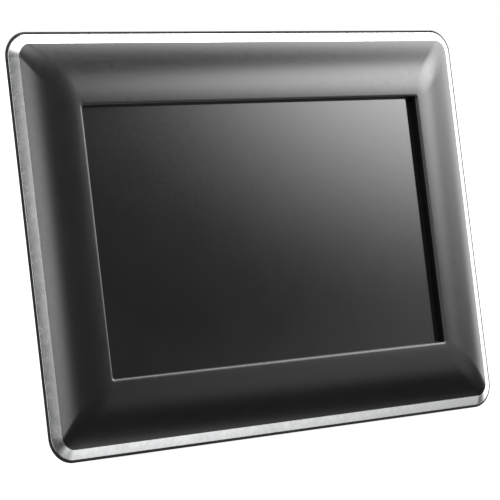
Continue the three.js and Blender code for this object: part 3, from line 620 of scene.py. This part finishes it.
def rear_cover():
    """The rear shell: rounded steps, screw wells with bosses, and every opening of the cover."""
    shell = skins("rear_shell", [cover_rings(COVER_OUTSIDE)])
    outside = skins("outside", [cover_rings(COVER_OUTSIDE)])
    carve(shell, "DIFFERENCE", skins("inside", [cover_rings(COVER_INSIDE)]))

    corners = [(sx * WELL["x"], sy * WELL["y"]) for sx in (-1, 1) for sy in (-1, 1)]
    reach = WELL_REACH
    bosses = skins("bosses", [cylinder(x, y, WELL["boss"], *reach["boss"]) for x, y in corners])
    carve(bosses, "INTERSECT", outside)
    carve(shell, "UNION", bosses)

    holes = [cylinder(x, y, WELL["radius"], *reach["hole"]) for x, y in corners]
    holes += grille(GRILLE["x"], GRILLE["y"]) + grille(-GRILLE["x"], GRILLE["y"])
    holes += vents()
    holes += [keyhole(side * KEYHOLE["x"], KEYHOLE["y"]) for side in (-1, 1)]
    holes += [round_hole(PAD["x"], PAD["y"], PAD["hole"])]
    holes += [small_key_hole(x) for x in SMALL_KEY["x"]]
    screw = STAND_SCREW
    holes += [round_hole(side * screw["x"], screw["y"], screw["hole"]) for side in (-1, 1)]
    holes += [side_hole(*port) for port in PORTS.values()]
    carve(shell, "DIFFERENCE", skins("holes", holes))
    clearances = [cylinder(x, y, WELL["clearance"], *reach["clearance"]) for x, y in corners]
    carve(shell, "DIFFERENCE", skins("clearances", clearances))

    shell.data.materials.clear()
    for polygon in shell.data.polygons:
        polygon.use_smooth = True
        polygon.material_index = 0
    sharpen(shell, COVER_SHARP)
    shell.modifiers.new("even_shading", "WEIGHTED_NORMAL").keep_sharp = True
    place(shell, "housing", "textured_black_plastic", "rear_cover")


# ---------- carried-over nodes ----------
# Widths of the softened edges, in millimetres.
BEVEL = 0.15
BEVELS = {
    "stand_leg": 0.8,
    "stand_bracket": 0.5,
    "stand_foot_pad": 1.3,
    "foot_left": 1.3,
    "foot_right": 1.3,
}
FLAT_ANGLE = 1  # degrees: faces that turn less are merged
EDGE_ANGLE = 32  # degrees: edges that turn more are softened


def dress(name, node, slot):
    """A material, merged flat faces and softened edges for a CAD node that is shown as it is."""
    node.data.materials.clear()
    node.data.materials.append(MATERIALS[slot])
    for polygon in node.data.polygons:
        polygon.use_smooth = True
    merge = node.modifiers.new("merge_flats", "DECIMATE")
    merge.decimate_type = "DISSOLVE"
    merge.angle_limit = math.radians(FLAT_ANGLE)
    bevel = node.modifiers.new("soft_edges", "BEVEL")
    bevel.width = BEVELS.get(name, BEVEL) * MM
    bevel.segments = 3
    bevel.limit_method = "ANGLE"
    bevel.angle_limit = math.radians(EDGE_ANGLE)
    bevel.harden_normals = True


def dress_nodes():
    slots = {part["node"]: part["material_slot"] for part in frame["record"]["subparts"]}
    for name, node in frame["nodes"].items():
        dress(name, node, slots[name])


# ---------- marks on the keys ----------
KEY_TOP = -29.6
MARK = {"size": 1.7, "thickness": 0.12, "sunk": 0.05}
MARK_BACK = math.pi * 0.7  # the arrowhead's back corners stand at this angle from its tip
KEY_MARK = key_mark()


def flat_mark(name, points, key):
    """A thin painted shape on a key's top, from (x, y) points in the face frame."""
    bm = bmesh.new()
    top, low = KEY_TOP - MARK["thickness"], KEY_TOP + MARK["sunk"]
    rows = [[bm.verts.new(FACE @ Vector((x, y, z))) for x, y in points] for z in (top, low)]
    for row in rows:
        bm.faces.new(row)
    for i in range(len(points)):
        k = (i + 1) % len(points)
        bm.faces.new((rows[0][i], rows[0][k], rows[1][k], rows[1][i]))
    obj = new_object(name, bm)
    place(obj, f"key_{key}", "key_plastic", material=KEY_MARK)


def key_marks():
    """An arrowhead on each direction key."""
    for i, key in enumerate(("right", "up", "left", "down")):
        angle = i * math.pi / 2
        x = PAD["x"] + PAD["reach"] * math.cos(angle)
        y = PAD["y"] + PAD["reach"] * math.sin(angle)
        corners = [angle + turn for turn in (0, MARK_BACK, -MARK_BACK)]
        points = [(x + MARK["size"] * math.cos(a), y + MARK["size"] * math.sin(a)) for a in corners]
        flat_mark(f"mark_{key}", points, key)


# ---------- studio ----------
CAMERA = {"sensor": 36, "lens": 176.5, "far": 50}
CAMERA_FROM = Vector((-0.556, -0.665, 0.074))  # metres from the glass's middle
CAMERA_LOOK = Vector((0.6315, 0.7704, -0.0934))


def studio_camera():
    camera = bpy.data.cameras.new("camera")
    obj = bpy.data.objects.new("camera", camera)
    bpy.context.scene.collection.objects.link(obj)
    camera.sensor_width = CAMERA["sensor"]
    camera.lens = CAMERA["lens"]
    camera.clip_end = CAMERA["far"]
    obj.location = CENTRE + CAMERA_FROM
    obj.rotation_euler = CAMERA_LOOK.to_track_quat("-Z", "Y").to_euler()
    bpy.context.scene.camera = obj


# Soft lights round the object: azimuth, elevation, their spreads in degrees, and strength.
# Azimuth 0 is in front of the object, and 90 is on its right.
SOFT_LIGHTS = [
    (50, 19, 8, 7, 12),
    (68, 22, 14, 12, 6),
    (67, 52, 13, 20, 10),
    (88, 8, 11, 28, 4.6),
    (-4, 15, 9, 7, 6),
    (12, 46, 25, 11, 7.5),
    (15, -22, 12, 8, 3),
    (46, 2, 10, 5.5, 0.9),
    (40, -31, 12, 8, 2.2),
    (122, 40, 14, 22, 0.5),
    (16, 17, 17, 12, 0.2),
    (-80, 18, 20, 30, 2.4),
    (-46, -20, 17, 12, 0.9),
    (-50, 52, 18, 12, 2.0),
    (165, 42, 24, 16, 5),
    (-140, 34, 26, 16, 5),
    (180, -38, 60, 24, 2.2),
]
AMBIENT = {"rise": 0.12, "least": 0.05}  # it grows towards the back of the room
FLOOR = {"size": 8, "drop": 0.0002, "glow": 0.93, "matt": 0.25}  # the drop is in metres


class Maths:
    """Short calls for a node tree's maths."""

    def __init__(self, tree):
        self.tree = tree

    def __call__(self, operation, *values):
        node = self.tree.nodes.new("ShaderNodeMath")
        node.operation = operation
        for socket, value in zip(node.inputs, values):
            if isinstance(value, (int, float)):
                socket.default_value = value
            else:
                self.tree.links.new(value, socket)
        return node.outputs[0]

    def seen(self):
        """1 for rays from the camera, also through clear pieces, and 0 for all others."""
        path = self.tree.nodes.new("ShaderNodeLightPath")
        return self("MAXIMUM", path.outputs["Is Camera Ray"], path.outputs["Is Transmission Ray"])


def studio_world():
    """White behind the object, and soft lights that only reflections and shading see."""
    world = bpy.data.worlds.new("studio")
    bpy.context.scene.world = world
    world.use_nodes = True
    tree = world.node_tree
    tree.nodes.clear()
    maths = Maths(tree)
    coords = tree.nodes.new("ShaderNodeTexCoord")
    axes = tree.nodes.new("ShaderNodeSeparateXYZ")
    tree.links.new(coords.outputs["Generated"], axes.inputs[0])
    x, y, z = axes.outputs
    azimuth = maths("DEGREES", maths("ARCTAN2", x, maths("MULTIPLY", y, -1)))
    elevation = maths("DEGREES", maths("ARCSINE", z))
    total = maths("MAXIMUM", maths("MULTIPLY", y, AMBIENT["rise"]), AMBIENT["least"])
    for centre, height, spread, rise, strength in SOFT_LIGHTS:
        across = maths("POWER", maths("DIVIDE", maths("SUBTRACT", azimuth, centre), spread), 2)
        along = maths("POWER", maths("DIVIDE", maths("SUBTRACT", elevation, height), rise), 2)
        distance = maths("POWER", maths("ADD", across, along), 2)
        fall = maths("EXPONENT", maths("MULTIPLY", distance, -0.5))
        total = maths("ADD", total, maths("MULTIPLY", fall, strength))
    seen = maths.seen()
    unseen = maths("SUBTRACT", 1.0, seen)
    background = tree.nodes.new("ShaderNodeBackground")
    background.inputs["Color"].default_value = (1, 1, 1, 1)
    strength = maths("ADD", maths("MULTIPLY", total, unseen), seen)
    tree.links.new(strength, background.inputs["Strength"])
    output = tree.nodes.new("ShaderNodeOutputWorld")
    tree.links.new(background.outputs[0], output.inputs["Surface"])


def floor():
    """A wide white floor that keeps only a trace of the object's shadow."""
    bm = bmesh.new()
    bmesh.ops.create_grid(bm, x_segments=4, y_segments=4, size=FLOOR["size"])
    obj = new_object("floor", bm)
    obj.location.z = -FLOOR["drop"]
    material = bpy.data.materials.new("white_floor")
    material.use_nodes = True
    tree = material.node_tree
    tree.nodes.clear()
    maths = Maths(tree)
    glow = tree.nodes.new("ShaderNodeEmission")
    glow.inputs["Strength"].default_value = FLOOR["glow"]
    matt = tree.nodes.new("ShaderNodeBsdfDiffuse")
    matt.inputs["Color"].default_value = (FLOOR["matt"],) * 3 + (1,)
    both = tree.nodes.new("ShaderNodeAddShader")
    tree.links.new(glow.outputs[0], both.inputs[0])
    tree.links.new(matt.outputs[0], both.inputs[1])
    clear = tree.nodes.new("ShaderNodeBsdfTransparent")
    mix = tree.nodes.new("ShaderNodeMixShader")
    tree.links.new(maths.seen(), mix.inputs[0])
    tree.links.new(clear.outputs[0], mix.inputs[1])
    tree.links.new(both.outputs[0], mix.inputs[2])
    output = tree.nodes.new("ShaderNodeOutputMaterial")
    tree.links.new(mix.outputs[0], output.inputs["Surface"])
    obj.data.materials.append(material)


dress_nodes()
trim_ring()
black_face()
screen()
rear_cover()
key_marks()
studio_camera()
studio_world()
floor()
bpy.context.scene.view_settings.view_transform = "Standard"
